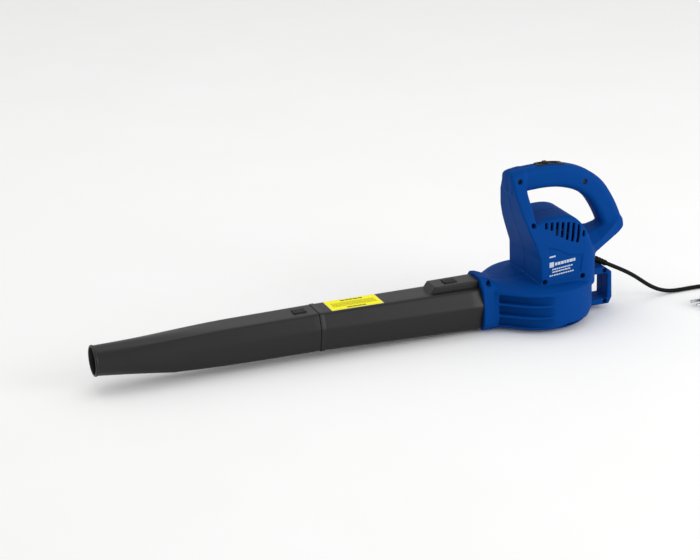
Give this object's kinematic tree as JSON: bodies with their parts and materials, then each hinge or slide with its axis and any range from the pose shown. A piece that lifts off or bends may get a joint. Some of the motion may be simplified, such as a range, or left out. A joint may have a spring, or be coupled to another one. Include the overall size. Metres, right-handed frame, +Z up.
{
  "type": "corded leaf blower",
  "caption": "Hand-held corded electric leaf blower: loop-handled body with upright motor over a flat fan housing and a two-piece blower tube.",
  "frame": {"origin": "fan axis where it meets the surface that the blower stands on, centre of the inlet grille's hub", "axes": "-X towards the nozzle, +Z up along the fan axis, +Y to the user's right"},
  "size_m": [1.1371, 0.1857, 0.2706],
  "materials": {
    "body_blue": "fine moulded texture",
    "tube_charcoal": "fine moulded texture",
    "trim_black": "satin",
    "inner_charcoal": "moulded",
    "label_yellow": "printed film",
    "label_pale": "printed film",
    "steel": "bright",
    "dark_steel": "blackened",
    "laminations": "varnished",
    "copper": "enamelled",
    "brass": "bright",
    "carbon": "matt",
    "rubber": "matt"
  },
  "bodies": {
    "housing": {"housing_left": "body_blue", "housing_right": "body_blue", "screw_grip_front": "dark_steel", "screw_post": "dark_steel", "screw_grip_rear": "dark_steel", "screw_block_front": "dark_steel", "screw_block_rear": "dark_steel", "screw_collar": "dark_steel", "screw_loop_upper": "dark_steel", "screw_loop_lower": "dark_steel", "grille_screw_1": "dark_steel", "grille_screw_2": "dark_steel", "grille_screw_3": "dark_steel", "side_label": "label_pale", "switch_plate": "trim_black", "inlet_grille": "trim_black", "switch_body": "inner_charcoal", "motor_plate": "inner_charcoal", "bearing_bridge": "inner_charcoal", "cord_clamp": "inner_charcoal", "capacitor": "inner_charcoal", "bearing_lower": "steel", "bearing_upper": "steel", "clamp_screw_left": "steel", "clamp_screw_right": "steel", "plug_pin_left": "steel", "plug_pin_right": "steel", "stator_core": "laminations", "field_coil_left": "copper", "field_coil_right": "copper", "brush_holder_left": "brass", "brush_holder_right": "brass", "carbon_brush_left": "carbon", "carbon_brush_right": "carbon", "strain_relief": "rubber", "lead_tail": "rubber", "mains_cord": "rubber", "plug_body": "rubber"},
    "fan": {"impeller": "trim_black", "impeller_nut": "steel", "motor_shaft": "steel", "cooling_fan": "trim_black", "armature_core": "laminations", "armature_winding_lower": "copper", "armature_winding_upper": "copper", "commutator": "copper"},
    "switch": {"switch_slider": "trim_black"},
    "rear_tube": {"rear_tube": "tube_charcoal", "tube_label": "label_yellow"},
    "rear_latch": {"latch_button_rear": "trim_black"},
    "nozzle": {"nozzle_tube": "tube_charcoal"},
    "nozzle_latch": {"latch_button_nozzle": "trim_black"}
  },
  "joints": [
    {"name": "fan_spin", "type": "hinge", "parent": "housing", "child": "fan", "pos_m": [0, 0, 0.1], "axis": [0, 0, 1], "continuous": true},
    {"name": "switch_slide", "type": "slide", "parent": "housing", "child": "switch", "axis": [1, 0, 0], "range_m": [0, 0.008]},
    {"name": "rear_tube_slide", "type": "slide", "parent": "housing", "child": "rear_tube", "axis": [-1, 0, 0], "range_m": [0, 0.045]},
    {"name": "nozzle_slide", "type": "slide", "parent": "rear_tube", "child": "nozzle", "axis": [-1, 0, 0], "range_m": [0, 0.045]},
    {"name": "rear_latch_press", "type": "slide", "parent": "rear_tube", "child": "rear_latch", "axis": [0, 0, -1], "range_m": [0, 0.003], "stiffness_N_per_m": 400, "springref_m": -0.002},
    {"name": "nozzle_latch_press", "type": "slide", "parent": "nozzle", "child": "nozzle_latch", "axis": [0, 0, -1], "range_m": [0, 0.003], "stiffness_N_per_m": 400, "springref_m": -0.002}
  ]
}
